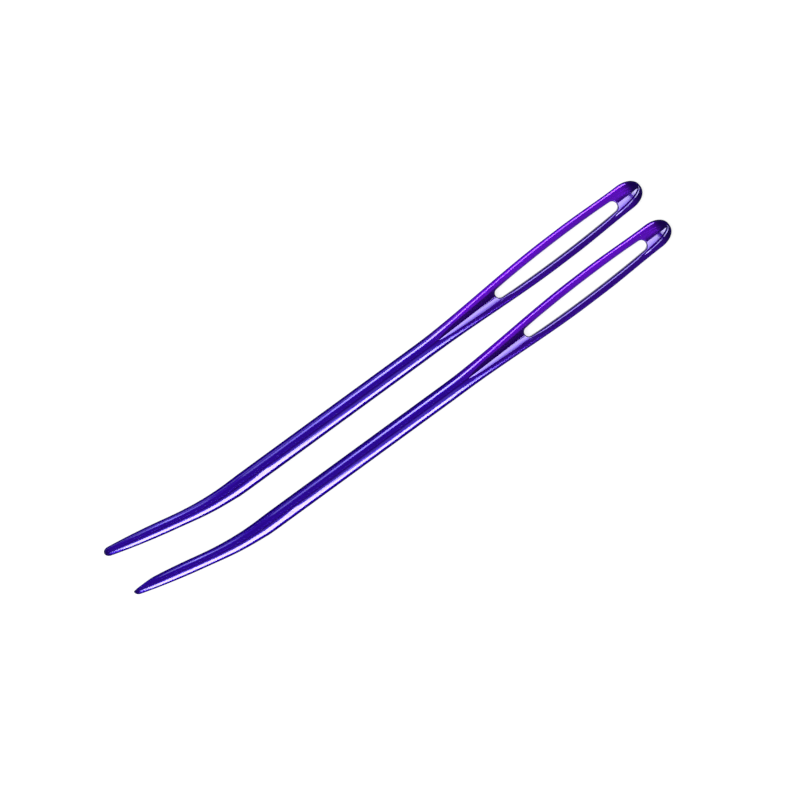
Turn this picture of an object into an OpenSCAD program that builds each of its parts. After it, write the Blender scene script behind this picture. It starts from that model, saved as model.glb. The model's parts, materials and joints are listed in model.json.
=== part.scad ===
// A pair of bent-tip yarn needles, side by side as they lie on a table.
// Each is one piece of anodised aluminium wire: a tapered tip bent to one side, a round shaft,
// and a flattened eye with a grooved, rounded head.
// X runs from the tips to the heads, Y towards the side that the tips bend to, and Z up.

/* [Needle] */
// Length from the end of the tip to the end of the head, along the shaft
needle_len = 76.2; // [70:0.1:84]
// Diameter of the round shaft
shaft_d = 2.26; // [2:0.02:2.8]

/* [Bent tip] */
// Diameter that the tip tapers to, behind its rounded end
tip_d = 1; // [0.8:0.05:1.4]
// Diameter of the straight tip, between its taper and the bend
straight_d = 1.69; // [1.4:0.01:2]
// Length of the tip's rounded end
tip_round = 0.6; // [0.4:0.05:1]
// Distance from the end of the tip to where its taper ends
taper_len = 8; // [6:0.5:11]
// Distance from the end of the tip to where it starts to thicken towards the bend
swell_from_tip = 8.5; // [7:0.5:11]
// Length over which it thickens to the shaft
swell_len = 10; // [7:0.5:13]
// Distance from the end of the tip to the corner of the bend
bend_from_tip = 16.8; // [14:0.1:20]
// Length of the curve that leads from the corner into the straight tip
bend_len = 10; // [7:0.5:13]
// Angle of the straight tip to the shaft
bend_angle = 12; // [4:0.5:18]
// Angle of the corner that the bend leaves on its outer edge
corner_angle = 4.5; // [0:0.5:8]
// Length of the stretch over which that corner fades, towards the tip
corner_len = 6; // [4:0.5:7]

/* [Bevelled tip] */
// Length of the bevel on the second needle's tip
bevel_len = 2.5; // [1.5:0.1:4]
// Angle of that bevel to the tip
bevel_angle = 9; // [2:0.5:12]

/* [Eye] */
// Width over the rails where the eye is widest
eye_w = 3.65; // [3.5:0.01:4.6]
// Width of the head behind its rounded end
head_w = 3.2; // [3.1:0.02:4]
// Thickness of the rails
eye_t = 1.9; // [1.6:0.05:2.3]
// Thickness of the head
head_t = 1.88; // [1.6:0.02:2.2]
// Distance from the end of the head to where the shaft starts to widen
flare_from_head = 31.9; // [30:0.1:37]
// Distance from the end of the head to where the eye reaches its full width
full_width_from_head = 13.2; // [12:0.1:17]
// Length of the stretch at full width
full_width_len = 2.4; // [1:0.1:4]
// Length of the head's rounded end, in outline
head_round = 2.25; // [1.8:0.05:2.7]
// Length over which the head thins to its end
head_thin_len = 1.5; // [1:0.05:1.8]
// Fullness of the head's outline: round at 0.5, and pointed above it
head_point = 0.44; // [0.4:0.01:0.6]
// Angle at which the eye leans to the side that the tip bends to
eye_lean = 1.25; // [0:0.05:3]
// Distance from the end of the head to where that lean starts
lean_from_head = 32.9; // [30:0.1:38]
// Length over which the lean comes in
lean_in_len = 3; // [1:0.5:6]

/* [Slot] */
// Length of the slot that the yarn goes through
slot_len = 17.8; // [15:0.1:20.6]
// Width of the slot at its end by the shaft
slot_start_w = 1.14; // [0.9:0.02:1.4]
// Width of the slot at its middle
slot_mid_w = 1.64; // [1.3:0.02:1.9]
// Width of the slot at its end by the head
slot_end_w = 1.3; // [0.9:0.02:1.5]
// Distance from the end of the head to the slot
slot_from_head = 3.5; // [3.1:0.02:4.2]
// Width of the rounded rim at the ends of the slot
slot_rim = 0.15; // [0.1:0.01:0.2]
// Length over which the groove runs out into the rails
rail_fade = 2.6; // [1.5:0.1:4]

/* [Yarn groove] */
// Distance from the end of the head to the point where the groove starts
groove_from_head = 29.8; // [27:0.1:30]
// Metal left between the two grooves, at the ends of the slot
groove_web = 0.78; // [0.7:0.02:1]
// Angle of the groove's sides to the eye's face, where the slot starts
groove_angle = 37; // [34:1:44]
// The same angle at the head
head_groove_angle = 31; // [27:1:36]
// Radius of the edge between the groove and the eye's face
groove_edge = 0.14; // [0.08:0.01:0.2]
// Angle of the inner side of the ridge that runs round the head
ridge_angle = 42; // [37:1:46]
// Width of that inner side
ridge_w = 0.16; // [0.1:0.01:0.2]
// Angle of the flatter step between the ridge and the groove's side
step_angle = 14; // [8:1:24]
// Width of that step
step_w = 0.17; // [0.1:0.01:0.22]
// Distance from the end of the head to where the ridges meet
ridge_end = 0.22; // [0.15:0.01:0.3]

/* [Pair] */
// Distance between the two shafts
pitch = 5.7; // [5:0.02:12]
// How far the second needle lies towards the heads
shift = 0.12; // [0:0.01:3]

/* [Look] */
// Colour of the anodised metal
metal_colour = "#3d0fb4"; // ["#3d0fb4", "#8a1c3c", "#0f6fa8", "#b9bcc2"]

/* [Hidden] */

// Places along the needle, measured from the end of the tip
flare_at = needle_len - flare_from_head;
lean_at = needle_len - lean_from_head;
groove_at = needle_len - groove_from_head;
full_width_at = needle_len - full_width_from_head;
slot_stop = needle_len - slot_from_head;
slot_start = slot_stop - slot_len;
slot_start_centre = slot_start + slot_start_w / 2;
slot_stop_centre = slot_stop - slot_end_w / 2;
rails_at = slot_start + rail_fade;
head_at = needle_len - head_round;

// Facets: steps along each stretch of the needle, and around a section
ROUND_STEPS = 5;
BEND_STEPS = 16;
SHAFT_STEPS = 3;
GROOVE_STEPS = 11;
RIM_STEPS = 3;
RAIL_STEPS = 14;
HEAD_STEPS = 11;
EDGE_STEPS = 7;
// Squareness of the rounded outer edge, where 2 is an ellipse: on the shaft, where the slot starts,
// and towards the head
SHAFT_POWER = 2;
NECK_POWER = 2.4;
HEAD_POWER = 3.6;
// How fast the groove opens at first, where 1 is evenly
GROOVE_POWER = 0.6;
// Where the rail's highest line lies, from the slot at 0 to the outline at 1
RAIL_CROWN = 0.5;
// How much of the head's step shows where the slot starts
STEP_BEFORE_SLOT = 0.4;
// The largest share of the groove's side that the ridge and the step take
STEP_ROOM = 0.75;
// The thinnest share of the tip that a bevel leaves
BEVEL_KEEP = 0.3;
// The rim takes no more than this share of the rail's inner side, and these of the metal's height,
// at the ends of the slot and along the rails
RIM_SIDE = 0.85;
RIM_HEIGHT = 0.35;
RAIL_RIM_HEIGHT = 0.8;
// How fast the corner on the outside of the bend fades
CORNER_FADE = 3;
// Half the step used for the slope of the centre line
SLOPE_STEP = 0.01;
// Points closer than this are one point
SAME_POINT = 0.00001;

function mix(a, b, t) = a + (b - a) * t;
function share(a, b, u) = min(1, max(0, (u - a) / (b - a)));
function ease(t) = t * t * (3 - 2 * t);
function round_in(d, len, power = 0.5) = d >= len ? 1 : pow(max(0, 1 - pow(1 - d / len, 2)), power);

// The centre line: a bend that tightens towards its corner, a straight shaft, and the eye's lean
function bend_y(u) =
    let (q = max(0, bend_from_tip - u) / bend_len)
    bend_len * tan(bend_angle) * (q < 1 ? q * q - q * q * q / 3 : q - 1 / 3);

function lean_y(u) =
    let (v = max(0, u - lean_at))
    tan(eye_lean) * (v < lean_in_len ? v * v / (2 * lean_in_len) : v - lean_in_len / 2);

function centre_y(u) = bend_y(u) + lean_y(u);
function centre_slope(u) = (centre_y(u + SLOPE_STEP) - centre_y(u - SLOPE_STEP)) / (2 * SLOPE_STEP);

// Half-width of the outline, before its ends are rounded
function tip_diameter(u) =
    mix(tip_d, straight_d, 1 - pow(1 - share(0, taper_len, u), 2))
    + (shaft_d - straight_d) * ease(share(swell_from_tip, swell_from_tip + swell_len, u));

function plain_half_w(u) =
    u < flare_at ? tip_diameter(u) / 2
    : u < full_width_at ? mix(shaft_d, eye_w, ease(share(flare_at, full_width_at, u))) / 2
    : mix(eye_w, head_w, ease(share(full_width_at + full_width_len, head_at, u))) / 2;

function end_round(u) = round_in(u, tip_round) * round_in(needle_len - u, head_round, head_point);

// What the corner takes off the outside of the bend, and the bevel off its inside
function corner_cut(u) =
    let (q = (bend_from_tip - u) / corner_len)
    q <= 0 || q >= 1 ? 0 : corner_len * tan(corner_angle) * q * pow(1 - q, CORNER_FADE);

function bevel_cut(u) = max(0, bevel_len - u) * tan(bevel_angle);

function half_w(u, side, bevelled) =
    let (w = plain_half_w(u), cut = side < 0 ? corner_cut(u) : bevelled ? bevel_cut(u) : 0)
    max(BEVEL_KEEP * w, w - cut) * end_round(u);

// Half the thickness
function half_t(u) =
    u < flare_at ? plain_half_w(u) * round_in(u, tip_round)
    : u < slot_start ? mix(shaft_d, eye_t, ease(share(flare_at, slot_start, u))) / 2
    : mix(eye_t, head_t, ease(share(slot_start_centre, slot_stop, u))) / 2
      * round_in(needle_len - u, head_thin_len);

// The slot: round ends, and sides that bow out to its middle
function slot_side(u) =
    let (
        t = share(slot_start_centre, slot_stop_centre, u),
        bow = slot_mid_w - (slot_start_w + slot_end_w) / 2
    )
    (mix(slot_start_w, slot_end_w, t) + 4 * t * (1 - t) * bow) / 2;

function slot_half_w(u) =
    u <= slot_start || u >= slot_stop ? 0
    : u < slot_start_centre ? sqrt(pow(slot_start_w / 2, 2) - pow(slot_start_centre - u, 2))
    : u > slot_stop_centre ? sqrt(pow(slot_end_w / 2, 2) - pow(u - slot_stop_centre, 2))
    : slot_side(u);

function slot_gap(u, y) =
    u < slot_start_centre ? norm([u - slot_start_centre, y]) - slot_start_w / 2
    : u > slot_stop_centre ? norm([u - slot_stop_centre, y]) - slot_end_w / 2
    : y - slot_half_w(u);

// 1 along the rails, where no groove is left, and 0 at the ends of the slot
function rail(u) =
    ease(share(slot_start, rails_at, u)) * ease(share(slot_stop, slot_stop - rail_fade, u));

// The rail's highest line, which closes round the head's end as an ellipse does
function rail_middle(u) =
    mix(slot_side(u), plain_half_w(u), RAIL_CROWN)
    * sqrt(1 - pow(share(slot_stop_centre, needle_len - ridge_end, u), 2));

// Distance from the centre line to where the outer edge starts to round
function flat_y(u) = rail_middle(u) * ease(share(flare_at, rails_at, u));
function edge_power(u) =
    mix(
        mix(SHAFT_POWER, NECK_POWER, ease(share(flare_at, slot_start, u))),
        HEAD_POWER,
        ease(share(slot_start, slot_stop, u))
    );

// The groove: its bottom's height, its depth, and the distance to its top edge
function groove_z(u) =
    mix(shaft_d, groove_web, pow(share(groove_at, slot_start, u), GROOVE_POWER)) / 2;
function groove_depth(u) = u <= groove_at ? 0 : max(0, half_t(u) - groove_z(u));
function crown_y(u) =
    let (
        d = groove_depth(u), r = min(groove_edge, d / 2),
        opened = sqrt(max(0, pow(d + r, 2) - r * r)) / tan(groove_angle)
    )
    mix(opened, rail_middle(u), ease(share(slot_start - slot_start_w / 2, rails_at, u)));

// How far the groove lies below its top edge: the ridge's inner side, a step and the groove's side
function head_part(u) = share(slot_start, slot_stop, u);
function stepped(u) =
    mix(STEP_BEFORE_SLOT * ease(share(slot_start - rail_fade, slot_start, u)), 1, head_part(u));

function groove_drop(u, y) =
    let (
        crown = crown_y(u), d = max(0, crown - y), part = stepped(u),
        r = min(mix(groove_edge, groove_edge / 3, part), crown / 4),
        ridge = tan(mix(groove_angle, ridge_angle, part)),
        step = tan(mix(groove_angle, step_angle, part)),
        side = tan(mix(groove_angle, head_groove_angle, head_part(u))),
        drop = sqrt(pow(ridge * d, 2) + r * r) - r
            + (step - ridge) * max(0, d - ridge_w)
            + (side - step) * max(0, d - ridge_w - step_w)
    ) max(0, drop) * (1 - rail(u));

// The rounding around the slot, as [how far it reaches, how far it falls]
function rim_size(u) =
    let (
        s = slot_half_w(u), room = RIM_SIDE * (crown_y(u) - s),
        high = half_t(u) - groove_drop(u, s)
    ) [
        max(0, mix(min(slot_rim, room), room, rail(u))),
        max(0, mix(RIM_HEIGHT, RAIL_RIM_HEIGHT, rail(u)) * high)
    ];

function rim_drop(rim, gap) =
    gap >= rim[0] ? 0 : rim[1] * (1 - sqrt(max(0, 1 - pow(1 - max(0, gap) / rim[0], 2))));

// The upper side of a section, as [distance from the centre line, height], from the slot or the
// groove's bottom, over the top edge, to the outer edge
function upper_side(u, w) =
    let (
        s = slot_half_w(u), c = crown_y(u), t = half_t(u), rim = rim_size(u), p = edge_power(u),
        flat = flat_y(u), wide = max(0.000001, w - flat),
        first_turn = asin(pow(min(1, max(0, (c - flat) / wide)), p / 2)),
        crown_z = t * pow(cos(first_turn), 2 / p),
        room = c - s - rim[0], step_room = min(1, STEP_ROOM * room / (ridge_w + step_w)),
        inner = [for (i = [0:RIM_STEPS]) s + rim[0] * (1 - cos(90 * i / RIM_STEPS))],
        flank = [for (d = [ridge_w + step_w, ridge_w, 0]) c - d * step_room]
    ) concat(
        [for (y = concat(inner, flank)) [y, crown_z - groove_drop(u, y) - rim_drop(rim, slot_gap(u, y))]],
        [for (i = [1:EDGE_STEPS]) let (a = mix(first_turn, 90, i / EDGE_STEPS))
            [max(c, flat + wide * pow(sin(a), 2 / p)), t * pow(cos(a), 2 / p)]]
    );

function whole_side(u, w) =
    let (top = upper_side(u, w), n = len(top))
    concat(top, [for (i = [n - 2:-1:0]) [top[i].x, -top[i].y]]);

// One side's points at one place along the needle, set square to the centre line
function placed_side(u, side, bevelled) =
    let (m = centre_slope(u), n = norm([m, 1]))
    [for (p = whole_side(u, half_w(u, side, bevelled)))
        [u - side * p.x * m / n, centre_y(u) + side * p.x / n, p.y]];

// Places of the sections along the needle, closer together where it curves
function even(a, b, n) = [for (i = [1:n]) mix(a, b, i / n)];
function close_at_start(a, b, n) = [for (i = [1:n]) mix(a, b, 1 - cos(90 * i / n))];
function close_at_end(a, b, n) = [for (i = [1:n]) mix(a, b, sin(90 * i / n))];

stations = concat(
    [0],
    close_at_start(0, tip_round, ROUND_STEPS),
    even(tip_round, bend_from_tip, BEND_STEPS),
    even(bend_from_tip, flare_at, SHAFT_STEPS),
    [groove_at],
    even(groove_at, slot_start - slot_rim, GROOVE_STEPS),
    close_at_end(slot_start - slot_rim, slot_start, RIM_STEPS),
    close_at_start(slot_start, slot_start_centre, ROUND_STEPS),
    even(slot_start_centre, slot_stop_centre, RAIL_STEPS),
    close_at_end(slot_stop_centre, slot_stop, ROUND_STEPS),
    close_at_start(slot_stop, slot_stop + slot_rim, RIM_STEPS),
    close_at_end(slot_stop + slot_rim, needle_len, HEAD_STEPS)
);

// A strip of triangles between two rows of points, without those that have shrunk to a line
function distinct(p, t) =
    norm(p[t[0]] - p[t[1]]) > SAME_POINT
    && norm(p[t[1]] - p[t[2]]) > SAME_POINT
    && norm(p[t[2]] - p[t[0]]) > SAME_POINT;

function quad(a, b, c, d) = [[a, c, b], [a, d, c]];

side_n = len(whole_side(0, shaft_d / 2));
section_n = 2 * side_n;

function needle_points(bevelled) =
    [for (u = stations, side = [1, -1]) each placed_side(u, side, bevelled)];

function skin(i, side) =
    let (a = i * section_n + (side > 0 ? 0 : side_n), b = a + section_n)
    [for (j = [0:side_n - 2]) each
        side > 0 ? quad(a + j, b + j, b + j + 1, a + j + 1) : quad(a + j, a + j + 1, b + j + 1, b + j)];

function slot_wall(i, side) =
    let (a = i * section_n + (side > 0 ? 0 : side_n), b = a + section_n, n = side_n - 1)
    side > 0 ? quad(a + n, b + n, b, a) : quad(a + n, a, b, b + n);

function in_slot(i) = stations[i] >= slot_start && stations[i + 1] <= slot_stop;

function needle_faces(points) = [
    for (i = [0:len(stations) - 2], side = [1, -1])
        for (t = concat(skin(i, side), in_slot(i) ? slot_wall(i, side) : []))
            if (distinct(points, t)) t
];

// The pair stands on its lowest point, with its origin under the middle of its outline
blunt_points = needle_points(false);
bevel_points = needle_points(true);
x_mid = (needle_len + shift) / 2;
y_high = max([for (p = blunt_points) p.y]);
y_low = min([for (p = bevel_points) p.y]) - pitch;
z_low = min([for (p = blunt_points) p.z]);

module needle(points) {
    color(metal_colour)
        translate([-x_mid, -(y_high + y_low) / 2, -z_low])
            polyhedron(points, needle_faces(points), convexity = 6);
}

module blunt_tip_needle() {
    needle(blunt_points);
}

module bevel_tip_needle() {
    translate([shift, -pitch, 0])
        needle(bevel_points);
}

blunt_tip_needle();
bevel_tip_needle();
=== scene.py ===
"""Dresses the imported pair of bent-tip yarn needles: fine lofted skins, anodised metal and a studio.

Lengths are in metres and angles in radians. X runs from the tips to the heads, Y towards the side
that the tips bend to, and Z up. u is a distance along a needle from the end of its tip.
"""

import json
import math

import bpy
import numpy as np
from mathutils import Matrix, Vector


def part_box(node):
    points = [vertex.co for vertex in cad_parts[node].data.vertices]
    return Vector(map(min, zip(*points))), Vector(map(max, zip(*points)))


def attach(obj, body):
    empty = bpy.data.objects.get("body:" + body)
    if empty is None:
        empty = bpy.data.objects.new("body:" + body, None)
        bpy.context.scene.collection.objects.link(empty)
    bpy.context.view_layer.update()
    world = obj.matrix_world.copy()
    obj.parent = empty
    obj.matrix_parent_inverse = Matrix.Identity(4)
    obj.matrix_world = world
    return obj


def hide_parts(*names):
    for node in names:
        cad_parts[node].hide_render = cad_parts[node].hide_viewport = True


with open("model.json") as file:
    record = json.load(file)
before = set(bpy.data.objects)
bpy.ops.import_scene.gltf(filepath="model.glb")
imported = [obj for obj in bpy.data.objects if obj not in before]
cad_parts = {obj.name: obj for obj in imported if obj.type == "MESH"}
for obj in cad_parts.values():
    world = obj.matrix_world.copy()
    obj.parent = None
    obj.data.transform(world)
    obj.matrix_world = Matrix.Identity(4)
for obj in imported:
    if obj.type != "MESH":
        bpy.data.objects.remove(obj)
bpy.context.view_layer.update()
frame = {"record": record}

bl_info = {
    "name": "Bent-tip yarn needles",
    "version": (1, 0, 0),
    "blender": (4, 5, 0),
    "location": "View3D > Sidebar > Yarn needles",
    "description": "A pair of anodised bent-tip yarn needles on a pale table",
    "category": "Add Mesh",
}

MM = 0.001

# Steps of the skins: along each stretch of a needle, and around half a section
ROUND_STEPS = 16
TIP_STEPS = 70
CORNER_STEPS = 4
SHAFT_STEPS = 44
FLARE_STEPS = 12
GROOVE_STEPS = 60
RIM_STEPS = 7
RAIL_STEPS = 60
HEAD_STEPS = 44
FLANK_STEPS = 10
EDGE_STEPS = 20
# How far each side of the bend's corner its closest sections stand
CORNER_HALF = 0.12 * MM
# Squareness of the rounded outer edge, where 2 is an ellipse: on the shaft, where the slot starts,
# and towards the head
SHAFT_POWER = 2
NECK_POWER = 2.4
HEAD_POWER = 3.6
# How fast the groove opens at first, where 1 is evenly
GROOVE_POWER = 0.6
# Where the rail's highest line lies between the slot and the outline
RAIL_CROWN = 0.5
# How much of the head's step shows where the slot starts
STEP_BEFORE_SLOT = 0.4
# Softness of the lines at which the groove's side changes its slope
HINGE = 0.02 * MM
# Radius of the ridge round the head
RIDGE_EDGE = 0.05 * MM
# The thinnest share of the tip that a bevel leaves
BEVEL_KEEP = 0.3
# The rim takes no more than this share of the rail's inner side, and these of its height,
# at the ends of the slot and along the rails
RIM_SIDE_SHARE = 0.85
RIM_HEIGHT = 0.35
RAIL_RIM_HEIGHT = 0.8
# How fast the corner on the outside of the bend fades
CORNER_FADE = 3
# Half the step used for the slope of the centre line
SLOPE_STEP = 0.01 * MM
# Points that round to the same multiple of this are one point
SAME_POINT = 1e-8
# How far a skin may depart from its CAD solid's box
BOX_ALLOWANCE = 0.06 * MM
# The least that is divided by, where a length shrinks to nothing
TINY = 1e-9

# What the mesh says of each point for its material: its u, its share of the half-width, how near
# the slot's rim it is, how much painted shade it takes in the groove and how dull its polish
MESH_VALUES = ("along", "side", "rim", "groove_painted_shade", "dull")
# Distance over which the rim's wear fades, as a share of the rim's width
RIM_FADE = 0.6
# Shares of the way from the groove's middle to its crown at which the painted shade, the brushed
# metal and the bright ridge by the head start and are full, and at which the brushed far flank ends
FLANK_PAINTED_SHADE = (0.96, 0.8)
CREASE_PAINTED_SHADE = (0.5, 0.1)
FLANK_BRUSHED = (0.25, 0.75)
RAIL_BRUSHED = (0.9, 1)
RIDGE_SHINES = (0.8, 0.86)
FLANK_END = 1.02
# How strong the painted shade is in the crease of the head and on the far flank, where 1 is the
# strongest
CREASE_SHADE = 0.7
FAR_FLANK_SHADE = 0.6
# How dull the bend-side rail is and the length over which it grows so, how much of its shine the
# far rail loses beside the slot, and the length over which its ridge grows bright by the head
RAIL_DULL = 0.85
RAIL_DULL_LEN = 4 * MM
RAIL_SHINE_LOST = 0.45
RIDGE_BRIGHT_LEN = 8 * MM

# The colours that the dye is made of, with the painted light and shade colours of the eye's rails,
# the groove, the ends and the shaft's sides, and the settings that hold them
DYE_AND_PAINTED_LIGHT_COLOURS = {
    "Shaft Colour": "shaft_colour",
    "Bend Rail Painted Lit Colour": "bend_rail_painted_lit_colour",
    "Far Rail Painted Shade Colour": "far_rail_painted_shade_colour",
    "Groove Painted Shade Colour": "groove_painted_shade_colour",
    "Ends Painted Shade Colour": "ends_painted_shade_colour",
    "Sides Painted Shade Colour": "sides_painted_shade_colour",
    "Worn Colour": "worn_colour",
}
# From the groove's start, where the shaft's dye gives way to the eye's rail colours, which are
# painted light on the bend's side and painted shade on the far side
EYE_LIT_AND_SHADED_RAILS = (-3 * MM, 7 * MM)
# Shares of the half-width at which the painted lit and shaded rail colours meet, and at which the
# painted shade down the shaft's sides starts and is full
LIT_AND_SHADED_RAILS_MEET = (-0.35, 0.35)
SIDES_PAINTED_SHADE = (0.72, 0.92)
# From the end of the tip and of the head, where the painted shade of the ends starts and is full
TIP_PAINTED_SHADE = (1.1 * MM, 0)
HEAD_PAINTED_SHADE = (2.4 * MM, 0.8 * MM)
# Clouds in the dye, flecks of worn dye and polish lines: how many there are in a metre
CLOUD_SCALE = (120, 900, 900)
FLECK_SCALE = 1500
POLISH_SCALE = (300, 9000, 9000)
# Levels of their noise between which the flecks wear through
FLECK_LEVELS = (0.35, 0.62)
# How much rougher or smoother than the rest a polish line is, and how high it stands
ROUGHNESS_SWING = 0.08
POLISH_HEIGHT = 0.002 * MM
# How far the film turns away, from 0 where it faces the eye to 1 at the outline, when its gloss
# starts to fade and when it has gone
GLOSS_FADES = (0.28, 0.38)

# How far the lamps stand from the needles
LAMP_DISTANCE = 150 * MM
# The soft boxes: name, setting that holds the radiance, degrees from straight up to the bend's
# side, height in degrees, and the X at which each starts and stops
SOFT_BOXES = (
    ("bend_side_lamp", "bend_lamp", 68, 20, -28 * MM, 18 * MM),
    ("bend_side_eye_lamp", "eye_lamp", 68, 42, 18 * MM, 100 * MM),
    ("far_side_lamp", "far_lamp", -70, 30, -95 * MM, 10.8 * MM),
    ("far_side_upper", "far_lamp", -47.5, 15, -95 * MM, -5 * MM),
    ("far_side_glow", "far_glow", -34, 28, -95 * MM, 10.8 * MM),
)
# Those that fade: the X where they are dimmest, the X where they are brightest, and the setting
# that holds what is left where they are dimmest
FADES = {
    "bend_side_lamp": (-28 * MM, 9 * MM, "bend_lamp_fade"),
    "bend_side_eye_lamp": (30 * MM, 50 * MM, "eye_lamp_fade"),
    "far_side_upper": (-5 * MM, -22 * MM, "far_lamp_fade"),
}
# How fast a fading lamp rises, where 1 is evenly
FADE_POWER = 1.6
# The overhead lamp: its side and height in metres, and how far it stands over to the tips and to
# the bend's side, in degrees
OVERHEAD_SIDE = 0.3
OVERHEAD_HEIGHT = 0.6
OVERHEAD_TO_TIPS = 15
OVERHEAD_TO_BEND = 8
# Half the side of the table, in metres
TABLE_HALF = 3
# The camera: width of its sensor in millimetres, the nearest and farthest that it sees in metres,
# and the place that it looks at
SENSOR_WIDTH = 36
CLIP = (0.01, 10)
LOOKS_AT = (0.47 * MM, -1.13 * MM, 1.13 * MM)


def length(name, description, default_mm):
    return bpy.props.FloatProperty(
        name=name, description=description, default=default_mm * MM, unit="LENGTH", precision=5
    )


def angle(name, description, default_degrees):
    return bpy.props.FloatProperty(
        name=name,
        description=description,
        default=math.radians(default_degrees),
        unit="ROTATION",
    )


def colour(name, description, default):
    return bpy.props.FloatVectorProperty(
        name=name,
        description=description,
        default=default,
        size=3,
        min=0,
        max=1,
        subtype="COLOR",
    )


def factor(name, description, default):
    return bpy.props.FloatProperty(
        name=name, description=description, default=default, min=0, max=1, subtype="FACTOR"
    )


def amount(name, description, default):
    return bpy.props.FloatProperty(name=name, description=description, default=default, min=0)


class NeedleSizes(bpy.types.PropertyGroup):
    """The sizes of one needle."""

    needle_len: length("Length", "From the end of the tip to the end of the head", 76.2)
    shaft_d: length("Shaft diameter", "Diameter of the round shaft", 2.26)
    tip_d: length("Tip diameter", "Diameter that the tip tapers to, behind its rounded end", 1.0)
    straight_d: length("Straight tip diameter", "Diameter of the tip between taper and bend", 1.69)
    tip_round: length("Tip rounding", "Length of the tip's rounded end", 0.6)
    taper_len: length("Taper length", "From the end of the tip to where its taper ends", 8)
    swell_from_tip: length("Swell place", "From the end of the tip to where it thickens", 8.5)
    swell_len: length("Swell length", "Length over which it thickens to the shaft", 10)
    bend_from_tip: length("Bend place", "From the end of the tip to the bend's corner", 16.8)
    bend_len: length("Bend length", "Length of the curve into the straight tip", 10)
    bend_angle: angle("Bend angle", "Angle of the straight tip to the shaft", 12)
    corner_angle: angle("Corner angle", "Angle of the corner on the bend's outer edge", 4.5)
    corner_len: length("Corner length", "Length over which that corner fades", 6)
    bevel_len: length("Bevel length", "Length of the bevel on the second needle", 2.5)
    bevel_angle: angle("Bevel angle", "Angle of that bevel to the tip", 9)
    bevel_start: length("Bevel softness", "Length over which the bevel starts", 0.35)
    eye_w: length("Eye width", "Width over the rails where the eye is widest", 3.65)
    head_w: length("Head width", "Width of the head behind its rounded end", 3.2)
    eye_t: length("Rail thickness", "Thickness of the rails", 1.9)
    head_t: length("Head thickness", "Thickness of the head", 1.88)
    flare_from_head: length("Flare place", "From the end of the head to the flare", 31.9)
    full_width_from_head: length("Full width place", "From the end of the head", 13.2)
    full_width_len: length("Full width length", "Length of the stretch at full width", 2.4)
    head_round: length("Head rounding", "Length of the head's rounded end in outline", 2.25)
    head_thin_len: length("Head thinning", "Length over which the head thins", 1.5)
    head_point: amount("Head point", "Head outline, round at 0.5, pointed above it", 0.44)
    eye_lean: angle("Eye lean", "Angle at which the eye leans to the bend's side", 1.25)
    lean_from_head: length("Lean place", "From the end of the head to that lean", 32.9)
    lean_in_len: length("Lean length", "Length over which the lean comes in", 3)
    slot_len: length("Slot length", "Length of the slot that the yarn goes through", 17.8)
    slot_start_w: length("Slot start width", "Width of the slot at its end by the shaft", 1.14)
    slot_mid_w: length("Slot middle width", "Width of the slot at its middle", 1.64)
    slot_end_w: length("Slot end width", "Width of the slot at its end by the head", 1.3)
    slot_from_head: length("Slot place", "From the end of the head to the slot", 3.5)
    slot_rim: length("Slot rim", "Width of the rounded rim at the slot's ends", 0.15)
    rail_fade: length("Rail fade", "Length over which the groove runs out into the rails", 2.6)
    ridge_end: length("Ridge end", "From the end of the head to where the ridges meet", 0.22)
    groove_from_head: length("Groove place", "From the end of the head to the groove", 29.8)
    groove_web: length("Web", "Metal left between the two grooves", 0.78)
    groove_angle: angle("Groove angle", "Angle of the groove's sides at the slot's start", 37)
    head_groove_angle: angle("Head groove angle", "The same angle at the head", 31)
    ridge_angle: angle("Ridge angle", "Angle of the ridge's inner side, round the head", 42)
    ridge_w: length("Ridge width", "Width of that inner side", 0.16)
    step_angle: angle("Step angle", "Angle of the flatter step inside the ridge", 14)
    step_w: length("Step width", "Width of that step", 0.17)
    groove_edge: length("Groove edge", "Radius of the edge between groove and face", 0.14)
    groove_floor: length("Groove floor", "Radius of the crease along the groove", 0.03)
    press_from_tip: length("Press mark place", "From the tip to the bending tool's mark", 20.9)
    press_len: length("Press mark length", "Half the length of that mark", 1.0)
    press_depth: length("Press mark depth", "How deep that mark is", 0.03)
    press_turn: angle("Press mark turn", "Angle of that mark from straight up", 21)


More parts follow.
